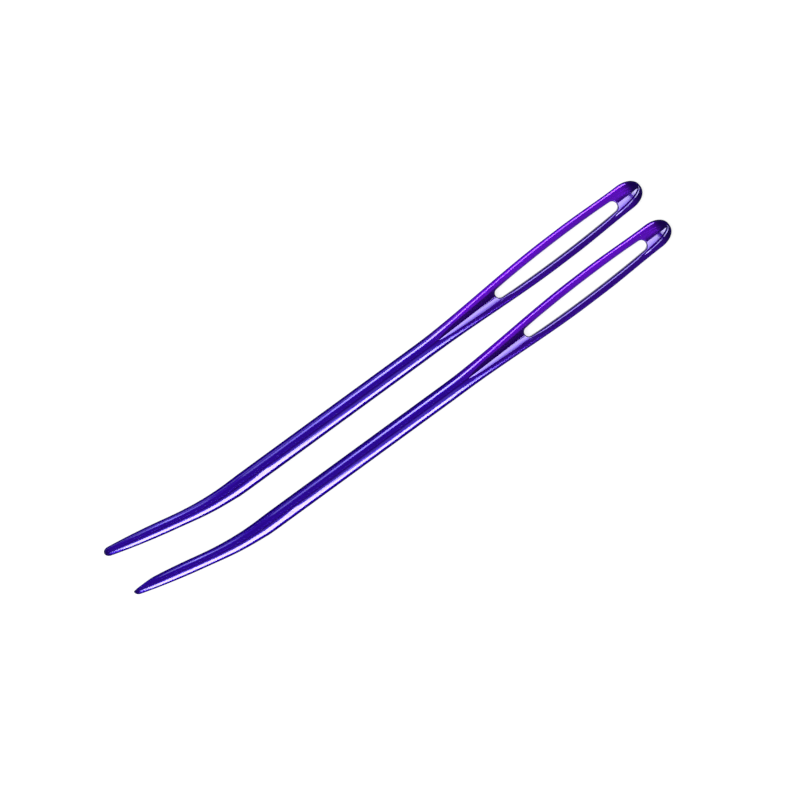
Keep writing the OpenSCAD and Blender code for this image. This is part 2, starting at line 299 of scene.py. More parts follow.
class MetalLook(bpy.types.PropertyGroup):
    """The anodised finish of one needle, with colours that paint light and shade into the dye."""

    shaft_colour: colour("Shaft colour", "Dye on the shaft and tip", (0.03, 0.0015, 0.38))
    # Painted light: the bend-side rail is a lit copy of the eye's dye, lighter and purpler where the
    # lamps fall
    bend_rail_painted_lit_colour: colour(
        "Bend-side rail colour", "Dye on the eye, on the bend's side", (0.14, 0.006, 0.67)
    )
    # Painted shade: the far rail is a shaded copy of the eye's dye, darker on the side that gets less
    # light
    far_rail_painted_shade_colour: colour(
        "Far rail colour", "Dye on the eye, on the far side", (0.04, 0.003, 0.29)
    )
    # Painted shade: a darker colour for the groove's flanks and the head's crease, where little light
    # falls
    groove_painted_shade_colour: colour(
        "Groove colour", "Dye in the groove before the slot", (0.02, 0.0005, 0.13)
    )
    # Painted shade: a darker colour at both ends, whose surfaces turn away from the lamps
    ends_painted_shade_colour: colour("End colour", "Dye at both ends, where it is deepest", (0.012, 0.001, 0.11))
    worn_colour: colour("Worn colour", "Thin dye along the slot's rims", (0.32, 0.24, 0.5))
    # Painted shade: the shaft's sides darken towards the outline, where less light falls
    sides_painted_shade_colour: colour(
        "Flank colour", "Darker dye down the shaft's sides", (0.018, 0.001, 0.21)
    )
    rim_wear: factor("Rim wear", "How much dye the yarn has worn off the rims", 0.3)
    rim_gloss: factor("Rim gloss", "How much the rims shine seen from the side", 1.0)
    dulling: factor("Dulling", "Shine missing where the metal is brushed dull", 0.7)
    metallic: factor("Metallic", "How much of the dyed metal shines as metal does", 0.4)
    film_ior: amount("Film IOR", "Index of refraction of the clear film", 1.6)
    film_roughness: factor("Film roughness", "Roughness of the clear film", 0.08)
    dye_variation: factor("Dye variation", "How unevenly the dye has taken", 0.25)
    metal_roughness: factor("Metal roughness", "Roughness under the clear film", 0.22)
    polish_depth: factor("Polish lines", "Strength of the lengthwise polish lines", 0.03)


class StageSettings(bpy.types.PropertyGroup):
    """The table, the lamps, the room and the camera."""

    floor_colour: colour("Floor colour", "Colour of the table", (0.3, 0.3, 0.3))
    floor_white: factor("Floor white", "How white the table is where no lamp lights it", 0.8)
    bend_lamp: amount("Bend-side lamp", "Radiance of the lamp on the bend's side", 11.5)
    bend_lamp_fade: factor("Bend-side fade", "Share of that left at its end by the tips", 0.13)
    eye_lamp: amount("Eye lamp", "Radiance of the wider lamp beside it, by the heads", 12)
    eye_lamp_fade: factor("Eye lamp fade", "Share of that left where the two lamps meet", 0.62)
    far_lamp: amount("Far-side lamp", "Radiance of the two lamps on the far side", 14)
    far_lamp_fade: factor("Far-side fade", "Share left at the upper one's end by the heads", 0)
    far_glow: amount("Far-side glow", "Radiance of the soft box above those lamps", 0.5)
    overhead: amount("Overhead light", "How brightly a white table is lit from above", 0.95)
    world_level: amount("World level", "Radiance of the room", 0.03)
    world_on_dye: amount("World on dye", "Extra strength of the room's light for the dye", 0.3)
    view_turn: angle("View turn", "Angle of the shafts in the picture", 36.12)
    view_tilt: angle("View tilt", "How far the camera stands to the bend's side", 5)
    lens: amount("Lens", "Focal length in millimetres", 150)
    view_width: length("View width", "Width of what the picture shows", 93.93)


def mix(a, b, t):
    return a + (b - a) * t


def share(a, b, u):
    """How far u has come on its way from a to b, between 0 and 1."""
    return np.clip((u - a) / (b - a), 0, 1)


def ease(t):
    """The same share, starting and stopping softly."""
    return t * t * (3 - 2 * t)


def round_in(d, reach, power=0.5):
    """A rounded end: 0 at the end, 1 from `reach` on."""
    return np.maximum(0, 1 - np.clip(1 - d / reach, 0, 1) ** 2) ** power


def hinge(x):
    """0 before a line and x after it, with a soft turn."""
    return (x + np.sqrt(x * x + HINGE * HINGE)) / 2


def even(a, b, n):
    """The n places after a and up to b, evenly spaced."""
    return mix(a, b, np.arange(1, n + 1) / n)


def close_at_start(a, b, n):
    """The same, but closest together after a."""
    return mix(a, b, 1 - np.cos(np.pi / 2 * np.arange(1, n + 1) / n))


def close_at_end(a, b, n):
    """The same, but closest together before b."""
    return mix(a, b, np.sin(np.pi / 2 * np.arange(1, n + 1) / n))


class NeedleShape:
    """The form of one needle, as functions of u."""

    def __init__(self, sizes, bevelled):
        self.s = sizes
        self.bevelled = bevelled
        self.flare_at = sizes.needle_len - sizes.flare_from_head
        self.lean_at = sizes.needle_len - sizes.lean_from_head
        self.groove_at = sizes.needle_len - sizes.groove_from_head
        self.full_width_at = sizes.needle_len - sizes.full_width_from_head
        self.slot_stop = sizes.needle_len - sizes.slot_from_head
        self.slot_start = self.slot_stop - sizes.slot_len
        self.slot_start_centre = self.slot_start + sizes.slot_start_w / 2
        self.slot_stop_centre = self.slot_stop - sizes.slot_end_w / 2
        self.head_at = sizes.needle_len - sizes.head_round

    def stations(self):
        """Places of the sections, closer together where the needle curves."""
        s = self.s
        corner = s.bend_from_tip
        rim = s.slot_rim
        return np.concatenate(
            [
                [0],
                close_at_start(0, s.tip_round, ROUND_STEPS),
                even(s.tip_round, corner - CORNER_HALF, TIP_STEPS),
                even(corner - CORNER_HALF, corner + CORNER_HALF, CORNER_STEPS),
                even(corner + CORNER_HALF, self.flare_at, SHAFT_STEPS),
                even(self.flare_at, self.groove_at, FLARE_STEPS),
                even(self.groove_at, self.slot_start - rim, GROOVE_STEPS),
                close_at_end(self.slot_start - rim, self.slot_start, RIM_STEPS),
                close_at_start(self.slot_start, self.slot_start_centre, ROUND_STEPS),
                even(self.slot_start_centre, self.slot_stop_centre, RAIL_STEPS),
                close_at_end(self.slot_stop_centre, self.slot_stop, ROUND_STEPS),
                close_at_start(self.slot_stop, self.slot_stop + rim, RIM_STEPS),
                close_at_end(self.slot_stop + rim, s.needle_len, HEAD_STEPS),
            ]
        )

    def centre_y(self, u):
        """The centre line: the bend, the straight shaft and the eye's lean."""
        s = self.s
        q = np.maximum(0, s.bend_from_tip - u) / s.bend_len
        bend = np.where(q < 1, q * q - q**3 / 3, q - 1 / 3)
        v = np.maximum(0, u - self.lean_at)
        lean = np.where(v < s.lean_in_len, v * v / (2 * s.lean_in_len), v - s.lean_in_len / 2)
        return s.bend_len * math.tan(s.bend_angle) * bend + math.tan(s.eye_lean) * lean

    def plain_half_w(self, u):
        """Half-width of the outline, before its ends are rounded."""
        s = self.s
        taper = 1 - (1 - share(0, s.taper_len, u)) ** 2
        swell = ease(share(s.swell_from_tip, s.swell_from_tip + s.swell_len, u))
        tip = mix(s.tip_d, s.straight_d, taper) + (s.shaft_d - s.straight_d) * swell
        flare = mix(s.shaft_d, s.eye_w, ease(share(self.flare_at, self.full_width_at, u)))
        narrowing = share(self.full_width_at + s.full_width_len, self.head_at, u)
        head = mix(s.eye_w, s.head_w, ease(narrowing))
        return np.where(u < self.flare_at, tip, np.where(u < self.full_width_at, flare, head)) / 2

    def half_w(self, u, side):
        """Half-width on one side, with the bend's corner or the bevel cut off it."""
        s = self.s
        w = self.plain_half_w(u)
        if side < 0:
            q = np.clip((s.bend_from_tip - u) / s.corner_len, 0, 1)
            cut = s.corner_len * math.tan(s.corner_angle) * q * (1 - q) ** CORNER_FADE
        elif self.bevelled:
            d = s.bevel_len - u
            soft = (np.sqrt(d * d + s.bevel_start**2) + d) / 2
            cut = soft * math.tan(s.bevel_angle) * (u < 2 * s.bevel_len)
        else:
            cut = 0
        ends = round_in(u, s.tip_round) * round_in(s.needle_len - u, s.head_round, s.head_point)
        return np.maximum(BEVEL_KEEP * w, w - cut) * ends

    def half_t(self, u):
        """Half-thickness: that of the round shaft up to the flare, and thinner at the eye."""
        s = self.s
        round_part = self.plain_half_w(u) * round_in(u, s.tip_round)
        neck = mix(s.shaft_d, s.eye_t, ease(share(self.flare_at, self.slot_start, u))) / 2
        thinning = ease(share(self.slot_start_centre, self.slot_stop, u))
        eye = mix(s.eye_t, s.head_t, thinning) / 2
        eye = eye * round_in(s.needle_len - u, s.head_thin_len)
        return np.where(u < self.flare_at, round_part, np.where(u < self.slot_start, neck, eye))

    def slot_side(self, u):
        """Half-width of the slot between its round ends, and beyond them as at the ends."""
        s = self.s
        t = share(self.slot_start_centre, self.slot_stop_centre, u)
        bow = s.slot_mid_w - (s.slot_start_w + s.slot_end_w) / 2
        return (mix(s.slot_start_w, s.slot_end_w, t) + 4 * t * (1 - t) * bow) / 2

    def slot_half_w(self, u):
        """Half-width of the slot, and 0 before and after it."""
        s = self.s
        before = np.maximum(0, (s.slot_start_w / 2) ** 2 - (self.slot_start_centre - u) ** 2)
        after = np.maximum(0, (s.slot_end_w / 2) ** 2 - (u - self.slot_stop_centre) ** 2)
        inside = np.where(
            u < self.slot_start_centre,
            np.sqrt(before),
            np.where(u > self.slot_stop_centre, np.sqrt(after), self.slot_side(u)),
        )
        return np.where((u <= self.slot_start) | (u >= self.slot_stop), 0, inside)

    def slot_gap(self, u, y):
        """Distance to the slot's edge."""
        before = np.hypot(u - self.slot_start_centre, y) - self.s.slot_start_w / 2
        after = np.hypot(u - self.slot_stop_centre, y) - self.s.slot_end_w / 2
        beside = y - self.slot_half_w(u)
        return np.where(
            u < self.slot_start_centre, before, np.where(u > self.slot_stop_centre, after, beside)
        )

    def rail(self, u):
        """1 along the rails, fading to 0 at the ends of the slot."""
        reach = self.s.rail_fade
        return ease(share(self.slot_start, self.slot_start + reach, u)) * ease(
            share(self.slot_stop, self.slot_stop - reach, u)
        )

    def groove_depth(self, u):
        """Depth of the groove, down to the web between the two grooves."""
        s = self.s
        opened = share(self.groove_at, self.slot_start, u) ** GROOVE_POWER
        floor = mix(s.shaft_d, s.groove_web, opened) / 2
        return np.where(u <= self.groove_at, 0, np.maximum(0, self.half_t(u) - floor))

    def to_end(self, u):
        """1 along the needle, closing round the head's end as an ellipse does."""
        reach = share(self.slot_stop_centre, self.s.needle_len - self.s.ridge_end, u)
        return np.sqrt(1 - reach**2)

    def rail_middle(self, u):
        """Distance from the centre line to the rail's highest line."""
        return mix(self.slot_side(u), self.plain_half_w(u), RAIL_CROWN) * self.to_end(u)

    def flat_y(self, u):
        """Distance from the centre line to where the outer edge starts to round."""
        return self.rail_middle(u) * ease(
            share(self.flare_at, self.slot_start + self.s.rail_fade, u)
        )

    def crown_y(self, u):
        """Distance from the centre line to the top edge of the groove or the rail."""
        s = self.s
        r = self.edge_r(u)
        d = self.groove_depth(u)
        groove = np.sqrt(np.maximum(0, (d + r) ** 2 - r * r)) / math.tan(s.groove_angle)
        rail_at = self.slot_start - s.slot_start_w / 2
        to_rail = ease(share(rail_at, self.slot_start + s.rail_fade, u))
        return mix(groove * self.to_end(u), self.rail_middle(u), to_rail)

    def edge_r(self, u):
        """Radius of the edge between groove and face."""
        return np.minimum(self.s.groove_edge, self.groove_depth(u) / 2)

    def groove_drop(self, u, y):
        """How far the groove lies below the crown: the ridge's inner side, a step and the flank."""
        s = self.s
        crown = self.crown_y(u)
        floor_r = np.minimum(s.groove_floor, crown / 4)
        d = np.maximum(0, crown - np.sqrt(y * y + floor_r**2))
        to_head = share(self.slot_start, self.slot_stop, u)
        before_slot = ease(share(self.slot_start - s.rail_fade, self.slot_start, u))
        stepped = mix(STEP_BEFORE_SLOT * before_slot, 1, to_head)
        r = np.minimum(mix(s.groove_edge, RIDGE_EDGE, stepped), crown / 4)
        ridge = np.tan(mix(s.groove_angle, s.ridge_angle, stepped))
        step = np.tan(mix(s.groove_angle, s.step_angle, stepped))
        flank = np.tan(mix(s.groove_angle, s.head_groove_angle, to_head))
        drop = np.sqrt((ridge * d) ** 2 + r * r) - r
        drop = drop + (step - ridge) * hinge(d - s.ridge_w)
        drop = drop + (flank - step) * hinge(d - s.ridge_w - s.step_w)
        return np.maximum(0, drop) * (1 - self.rail(u))

    def rim_size(self, u):
        """How far the rounding around the slot reaches inwards and downwards."""
        s = self.slot_half_w(u)
        rail = self.rail(u)
        wide = RIM_SIDE_SHARE * (self.crown_y(u) - s)
        high = self.half_t(u) - self.groove_drop(u, s)
        reach = mix(np.minimum(self.s.slot_rim, wide), wide, rail)
        return np.maximum(0, reach), np.maximum(0, mix(RIM_HEIGHT, RAIL_RIM_HEIGHT, rail) * high)

    def edge_power(self, u):
        """Squareness of the rounded outer edge, where 2 is an ellipse."""
        neck = mix(SHAFT_POWER, NECK_POWER, ease(share(self.flare_at, self.slot_start, u)))
        return mix(neck, HEAD_POWER, ease(share(self.slot_start, self.slot_stop, u)))

    def upper_side(self, u, side):
        """One half of the upper side of each section: distances from the centre line, heights
        and rim closeness, as arrays of sections by points."""
        u = u[:, None]
        slot = self.slot_half_w(u)
        crown = self.crown_y(u)
        flat = self.flat_y(u)
        t = self.half_t(u)
        power = self.edge_power(u)
        wide = np.maximum(self.half_w(u, side) - flat, TINY)
        rounded = np.clip((crown - flat) / wide, 0, 1)
        first_turn = np.arcsin(rounded ** (power / 2))
        crown_z = t * np.cos(first_turn) ** (2 / power)
        reach, fall = self.rim_size(u)
        arc = np.pi / 2 * np.arange(RIM_STEPS + 1) / RIM_STEPS
        inner = slot + reach * (1 - np.cos(arc))
        flank = mix(slot + reach, crown, even(0, 1, FLANK_STEPS))
        y = np.concatenate([inner, flank], axis=1)
        gap = np.maximum(0, self.slot_gap(u, y))
        inwards = np.clip(1 - gap / np.maximum(reach, TINY), 0, 1)
        rim = fall * (1 - np.sqrt(np.maximum(0, 1 - inwards * inwards)))
        z = crown_z - self.groove_drop(u, y) - rim
        turn = mix(first_turn, np.pi / 2, even(0, 1, EDGE_STEPS))
        outer_y = np.maximum(crown, flat + wide * np.sin(turn) ** (2 / power))
        outer_z = t * np.maximum(0, np.cos(turn)) ** (2 / power)
        outer_z[:, -1] = 0
        near = np.exp(-gap / (RIM_FADE * self.s.slot_rim))
        near = np.concatenate([near, np.zeros_like(outer_y)], axis=1)
        return (
            np.concatenate([y, outer_y], axis=1),
            np.concatenate([z, outer_z], axis=1),
            near,
        )

    def press_mark(self, u, y, z, side):
        """The shallow flat that the bending tool has left beside the bend."""
        s = self.s
        along = np.clip(1 - ((u[:, None] - s.press_from_tip) / s.press_len) ** 2, 0, 1)
        turn = np.clip(np.arctan2(y, z) - s.press_turn, -1, 1)
        flat = (self.plain_half_w(u)[:, None] - s.press_depth * along) / np.cos(turn)
        return np.maximum(0, np.hypot(y, z) - flat) * (along > 0) * (side < 0) * (z > 0)

    def out_to_crown(self, u, y):
        """Where each point lies, as a share of the way from the centre line to the crown."""
        return y / np.maximum(self.crown_y(u)[:, None], TINY)

    def groove_painted_shade_mask(self, u, y, z, side):
        """Where shade is painted: on the groove's flanks, less so on the far one, and past the slot
        only along the crease of the bend's side."""
        out = self.out_to_crown(u, y)
        flank = ease(share(*FLANK_PAINTED_SHADE, out))
        if side < 0:
            return FAR_FLANK_SHADE * flank * (z > 0)
        past_slot = ease(share(self.slot_start, self.slot_start + self.s.rail_fade, u))[:, None]
        return mix(flank, CREASE_SHADE * ease(share(*CREASE_PAINTED_SHADE, out)), past_slot) * (z > 0)

    def dullness(self, u, y, z, side):
        """Where the brush has left less shine: high on the groove's far flank, but not on the
        ridge by the head, and down the outside of the bend-side rail."""
        out = self.out_to_crown(u, y)
        if side > 0:
            along = ease(share(self.groove_at, self.groove_at + RAIL_DULL_LEN, u))[:, None]
            return RAIL_DULL * along * ease(share(*RAIL_BRUSHED, out)) * (z > 0)
        at_head = ease(share(self.slot_stop - RIDGE_BRIGHT_LEN, self.slot_stop, u))[:, None]
        flank = ease(share(*FLANK_BRUSHED, out)) * (out < FLANK_END)
        flank = flank * (1 - RAIL_SHINE_LOST * self.rail(u))[:, None]
        ridge = ease(share(*RIDGE_SHINES, out)) * at_head
        return flank * (1 - ridge) * (z > 0)

    def points(self, u):
        """X, Y, Z and the MESH_VALUES of each point, as an array of sections by sides by places
        around half a section."""
        slope = (self.centre_y(u + SLOPE_STEP) - self.centre_y(u - SLOPE_STEP)) / (2 * SLOPE_STEP)
        n = np.hypot(slope, 1)
        sides = []
        for side in (1, -1):
            y, z, near = self.upper_side(u, side)
            y = np.concatenate([y, y[:, -2::-1]], axis=1)
            z = np.concatenate([z, -z[:, -2::-1]], axis=1)
            near = np.concatenate([near, near[:, -2::-1]], axis=1)
            mark = self.press_mark(u, y, z, side)
            reach = np.hypot(y, z) + TINY
            y, z = y * (1 - mark / reach), z * (1 - mark / reach)
            x = u[:, None] - side * y * (slope / n)[:, None]
            across = self.centre_y(u)[:, None] + side * y / n[:, None]
            along = np.broadcast_to(u[:, None], y.shape)
            of_width = side * y / self.plain_half_w(u)[:, None]
            # How much painted shade the groove takes at each point
            groove_painted_shade = self.groove_painted_shade_mask(u, y, z, side)
            dull = self.dullness(u, y, z, side)
            sides.append(np.stack([x, across, z, along, of_width, near, groove_painted_shade, dull], axis=2))
        return np.stack(sides, axis=1)

    def faces(self, u, side_n):
        """Quads between neighbouring sections, where each side has side_n points, with the walls
        of the slot."""
        faces = []
        j = np.arange(side_n - 1)
        for i in range(len(u) - 1):
            in_slot = (
                u[i] > self.slot_start - SAME_POINT and u[i + 1] < self.slot_stop + SAME_POINT
            )
            for k, side in ((0, 1), (1, -1)):
                a = (2 * i + k) * side_n
                b = a + 2 * side_n
                quads = np.stack([a + j, a + j + 1, b + j + 1, b + j], axis=1)
                if in_slot:
                    wall = [[a + side_n - 1, a, b, b + side_n - 1]]
                    quads = np.concatenate([quads, wall])
                faces.append(quads if side > 0 else quads[:, ::-1])
        return np.concatenate(faces)

    def skin(self):
        """The table of all points, and the faces as lists of their numbers."""
        u = self.stations()
        points = self.points(u)
        return merged(points.reshape(-1, points.shape[3]), self.faces(u, points.shape[2]))


def merged(table, faces):
    """Makes points that lie together one point, and drops what has shrunk to a line."""
    keys = np.round(table[:, :3] / SAME_POINT).astype(np.int64)
    _, first, same = np.unique(keys, axis=0, return_index=True, return_inverse=True)
    same = same.reshape(-1)
    kept = []
    for face in same[faces]:
        around = [int(p) for k, p in enumerate(face) if p != face[k - 1]]
        if len(set(around)) == len(around) and len(around) > 2:
            kept.append(around)
    return table[first], kept


def scene_object(name, data):
    new = bpy.data.objects.new(name, data)
    bpy.context.scene.collection.objects.link(new)
    return new


def needle_object(name, node, mount, bevelled):
    """One needle as a smooth skin, in the place of its CAD solid."""
    sizes = bpy.context.scene.needle_sizes
    shape = NeedleShape(sizes, bevelled)
    table, faces = shape.skin()
    eye_u = (shape.slot_start + shape.slot_stop) / 2
    points = table[:, :3] + [
        mount[0] - eye_u,
        mount[1] - float(shape.centre_y(np.array(eye_u))),
        mount[2],
    ]
    mesh = bpy.data.meshes.new(name)
    mesh.from_pydata(points.tolist(), [], faces)
    mesh.validate()
    for column, value_name in enumerate(MESH_VALUES, 3):
        values = mesh.attributes.new(value_name, "FLOAT", "POINT")
        values.data.foreach_set("value", table[:, column].astype(np.float32))
    mesh.polygons.foreach_set("use_smooth", [True] * len(mesh.polygons))
    mesh.update()
    needle = scene_object(name, mesh)
    low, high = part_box(node)
    off = max(np.abs(points.min(0) - low).max(), np.abs(points.max(0) - high).max())
    if off > BOX_ALLOWANCE:
        raise RuntimeError(f"{name} departs {off / MM:.3f} mm from the box of its CAD solid")
    return needle


def new_group(name, inputs, outputs):
    """A node group with named inputs and outputs, and its own sockets for them."""
    group = bpy.data.node_groups.new(name, "ShaderNodeTree")
    for socket, kind, default in inputs:
        made = group.interface.new_socket(name=socket, in_out="INPUT", socket_type=kind)
        made.default_value = default
    for socket, kind in outputs:
        group.interface.new_socket(name=socket, in_out="OUTPUT", socket_type=kind)
    start = group.nodes.new("NodeGroupInput")
    end = group.nodes.new("NodeGroupOutput")
    return group, start.outputs, end.inputs


def add_node(tree, kind, settings=None, values=None):
    """A node with its settings, and a number, colour or link for each named or numbered input."""
    node = tree.nodes.new(kind)
    for name, value in (settings or {}).items():
        setattr(node, name, value)
    for socket, value in (values or {}).items():
        target = node.inputs[socket]
        if isinstance(value, bpy.types.NodeSocket):
            tree.links.new(value, target)
        else:
            target.default_value = value
    return node


def math_node(tree, operation, *values):
    return add_node(
        tree, "ShaderNodeMath", {"operation": operation}, dict(enumerate(values))
    ).outputs[0]


def ramp(tree, value, low, high):
    """0 below `low`, 1 above `high`, smooth between them."""
    return add_node(
        tree,
        "ShaderNodeMapRange",
        {"interpolation_type": "SMOOTHSTEP"},
        {"Value": value, "From Min": low, "From Max": high},
    ).outputs["Result"]


def blend_colours(tree, share_of_b, a, b):
    """A mix of two colours. Its inputs and output go by number, because their names repeat."""
    return add_node(
        tree, "ShaderNodeMix", {"data_type": "RGBA"}, {0: share_of_b, 6: a, 7: b}
    ).outputs[2]


def noise(tree, place, seed, scale, detail):
    """Clouds of values around 0.5, which differ from seed to seed."""
    return add_node(
        tree,
        "ShaderNodeTexNoise",
        {"noise_dimensions": "4D"},
        {"Vector": place, "W": seed, "Scale": scale, "Detail": detail},
    ).outputs["Fac"]


def scaled(tree, place, scale):
    """A place with each of its axes times its own number."""
    return add_node(
        tree, "ShaderNodeMapping", values={"Vector": place, "Scale": scale}
    ).outputs[0]


def mesh_value(tree, name):
    """One of MESH_VALUES."""
    return add_node(tree, "ShaderNodeAttribute", {"attribute_name": name}).outputs["Fac"]


def dye_and_painted_light_group():
    """Colour of the dye, with painted light and shade: one hue on the shaft, a lit hue on the eye's
    bend side and a shaded one on its far side, and painted shade in the groove, at both ends and down
    the shaft's sides.
    """
    group, given, result = new_group(
        "dye_and_painted_light_over_needle",
        [(socket, "NodeSocketColor", (0, 0, 0, 1)) for socket in DYE_AND_PAINTED_LIGHT_COLOURS]
        + [(socket, "NodeSocketFloat", 0) for socket in ("Rim Wear", "Variation", "Seed")],
        [("Colour", "NodeSocketColor"), ("Wear", "NodeSocketFloat")],
    )
    sizes = bpy.context.scene.needle_sizes
    along = mesh_value(group, "along")
    side = mesh_value(group, "side")
    groove_at = sizes.needle_len - sizes.groove_from_head
    in_eye = ramp(group, along, *(groove_at + place for place in EYE_LIT_AND_SHADED_RAILS))
    # Painted light and shade: a lit colour on the eye's bend side and a shaded colour on its far side
    rails = blend_colours(
        group,
        ramp(group, side, *LIT_AND_SHADED_RAILS_MEET),
        given["Far Rail Painted Shade Colour"],
        given["Bend Rail Painted Lit Colour"],
    )
    # Painted shade down the shaft's sides
    flank = ramp(group, math_node(group, "ABSOLUTE", side), *SIDES_PAINTED_SHADE)
    shaft = blend_colours(group, flank, given["Shaft Colour"], given["Sides Painted Shade Colour"])
    hue = blend_colours(group, in_eye, shaft, rails)
    # Painted shade in the groove and along the head's crease
    hue = blend_colours(group, mesh_value(group, "groove_painted_shade"), hue, given["Groove Painted Shade Colour"])
    # Painted shade at both ends
    at_tip = ramp(group, along, *TIP_PAINTED_SHADE)
    at_head = ramp(group, along, *(sizes.needle_len - place for place in HEAD_PAINTED_SHADE))
    at_end = math_node(group, "MAXIMUM", at_tip, at_head)
    hue = blend_colours(group, at_end, hue, given["Ends Painted Shade Colour"])
    place = add_node(group, "ShaderNodeTexCoord").outputs["Object"]
    cloud = noise(group, scaled(group, place, CLOUD_SCALE), given["Seed"], 1, 3)
    swing = math_node(group, "MULTIPLY", math_node(group, "SUBTRACT", cloud, 0.5), 2)
    gain = math_node(group, "MULTIPLY_ADD", swing, given["Variation"], 1)
    lit = add_node(
        group, "ShaderNodeVectorMath", {"operation": "SCALE"}, {0: hue, "Scale": gain}
    ).outputs[0]
    flecks = ramp(group, noise(group, place, given["Seed"], FLECK_SCALE, 4), *FLECK_LEVELS)
    rim = math_node(group, "MULTIPLY", mesh_value(group, "rim"), flecks)
    wear = math_node(group, "MULTIPLY", rim, given["Rim Wear"])
    group.links.new(blend_colours(group, wear, lit, given["Worn Colour"]), result["Colour"])
    group.links.new(wear, result["Wear"])
    return group


def polish_group():
    """Fine lengthwise polish lines, as a height and a change of roughness."""
    group, given, result = new_group(
        "lengthwise_polish",
        [("Seed", "NodeSocketFloat", 0), ("Roughness", "NodeSocketFloat", 0.5)],
        [("Height", "NodeSocketFloat"), ("Roughness", "NodeSocketFloat")],
    )
    place = add_node(group, "ShaderNodeTexCoord").outputs["Object"]
    lines = noise(group, scaled(group, place, POLISH_SCALE), given["Seed"], 1, 2)
    group.links.new(lines, result["Height"])
    change = math_node(group, "MULTIPLY_ADD", lines, 2 * ROUGHNESS_SWING, -ROUGHNESS_SWING)
    group.links.new(math_node(group, "ADD", given["Roughness"], change), result["Roughness"])
    return group


def new_material(name):
    material = bpy.data.materials.new(name)
    material.use_nodes = True
    material.node_tree.nodes.clear()
    return material


def anodised_metal(name, seed):
    """Violet dye with painted light and shade, in a clear hard film on polished aluminium."""
    look = bpy.context.scene.metal_look
    groups = bpy.data.node_groups
    dye_tree = groups.get("dye_and_painted_light_over_needle") or dye_and_painted_light_group()
    polish_tree = groups.get("lengthwise_polish") or polish_group()
    material = new_material(name)
    tree = material.node_tree
    given = {socket: (*getattr(look, held_by), 1) for socket, held_by in DYE_AND_PAINTED_LIGHT_COLOURS.items()}
    given |= {"Rim Wear": look.rim_wear, "Variation": look.dye_variation, "Seed": seed}
    dye = add_node(tree, "ShaderNodeGroup", {"node_tree": dye_tree}, given)
    polish = add_node(
        tree,
        "ShaderNodeGroup",
        {"node_tree": polish_tree},
        {"Seed": seed, "Roughness": look.metal_roughness},
    )
    bump = add_node(
        tree,
        "ShaderNodeBump",
        values={
            "Strength": look.polish_depth,
            "Distance": POLISH_HEIGHT,
            "Height": polish.outputs["Height"],
        },
    )
    facing = add_node(tree, "ShaderNodeLayerWeight", values={"Blend": 0.5}).outputs["Facing"]
    gloss = math_node(tree, "SUBTRACT", 1, ramp(tree, facing, *GLOSS_FADES))
    rim_gloss = math_node(tree, "MULTIPLY", mesh_value(tree, "rim"), look.rim_gloss)
    gloss = math_node(tree, "MAXIMUM", gloss, rim_gloss)
    polished = math_node(tree, "MULTIPLY_ADD", mesh_value(tree, "dull"), -look.dulling, 1)
    metal = add_node(
        tree,
        "ShaderNodeBsdfPrincipled",
        values={
            "Base Color": dye.outputs["Colour"],
            "Roughness": polish.outputs["Roughness"],
            "Metallic": look.metallic,
            "Specular IOR Level": 0,
            "Specular Tint": (0, 0, 0, 1),
            "Coat Weight": math_node(tree, "MULTIPLY", gloss, polished),
            "Coat IOR": look.film_ior,
            "Coat Roughness": look.film_roughness,
            "Normal": bump.outputs["Normal"],
        },
    )
    add_node(tree, "ShaderNodeOutputMaterial", values={"Surface": metal.outputs[0]})
    return material


def mount_place(name):
    """Where the record puts a mount, in metres."""
    for mount in frame["record"]["mounts"]:
        if mount["name"] == name:
            return mount["pos_m"]
    raise RuntimeError(f"the record has no mount named {name}")


def dressed_needle(node, mount, seed, bevelled):
    """The skin that takes the place of a CAD needle, on the same body."""
    needle = needle_object(node + "_skin", node, mount_place(mount), bevelled)
    needle.data.materials.append(anodised_metal(node + "_metal", seed))
    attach(needle, node)
    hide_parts(node)


class NEEDLES_OT_blunt(bpy.types.Operator):
    """Add the needle with the blunt tip"""

    bl_idname = "needles.add_blunt"
    bl_label = "Add blunt-tip needle"

    def execute(self, context):
        dressed_needle("blunt_tip_needle", "blunt_needle_eye", 3.0, False)
        return {"FINISHED"}


class NEEDLES_OT_bevelled(bpy.types.Operator):
    """Add the needle with the bevelled tip"""

    bl_idname = "needles.add_bevelled"
    bl_label = "Add bevelled-tip needle"

    def execute(self, context):
        dressed_needle("bevel_tip_needle", "bevel_needle_eye", 11.0, True)
        return {"FINISHED"}


def soft_box(name, radiance, towards, spread, x_from, x_to):
    """A lamp that faces the needles, `towards` degrees from straight up to the bend's side and
    `spread` degrees high."""
    light = bpy.data.lights.new(name, "AREA")
    light.shape = "RECTANGLE"
    light.size = x_to - x_from
    light.size_y = 2 * LAMP_DISTANCE * math.tan(math.radians(spread) / 2)
    light.energy = radiance * math.pi * light.size * light.size_y
    lamp = scene_object(name, light)
    turn = math.radians(towards)
    lamp.location = (
        (x_from + x_to) / 2,
        LAMP_DISTANCE * math.sin(turn),
        LAMP_DISTANCE * math.cos(turn),
    )
    lamp.rotation_euler = (-turn, 0, 0)
    lamp.visible_camera = False
    lamp.visible_diffuse = False
    return lamp


def fade_lamp(lamp, x_dim, x_full, least):
    """Lets a lamp's strength rise from `least` at x_dim to 1 at x_full."""
    lamp.data.use_nodes = True
    tree = lamp.data.node_tree
    place = add_node(tree, "ShaderNodeNewGeometry").outputs["Position"]
    x = add_node(tree, "ShaderNodeSeparateXYZ", values={0: place}).outputs["X"]
    rise = math_node(tree, "POWER", ramp(tree, x, x_dim, x_full), FADE_POWER)
    strength = math_node(tree, "MULTIPLY_ADD", rise, 1 - least, least)
    tree.links.new(strength, tree.nodes["Emission"].inputs["Strength"])


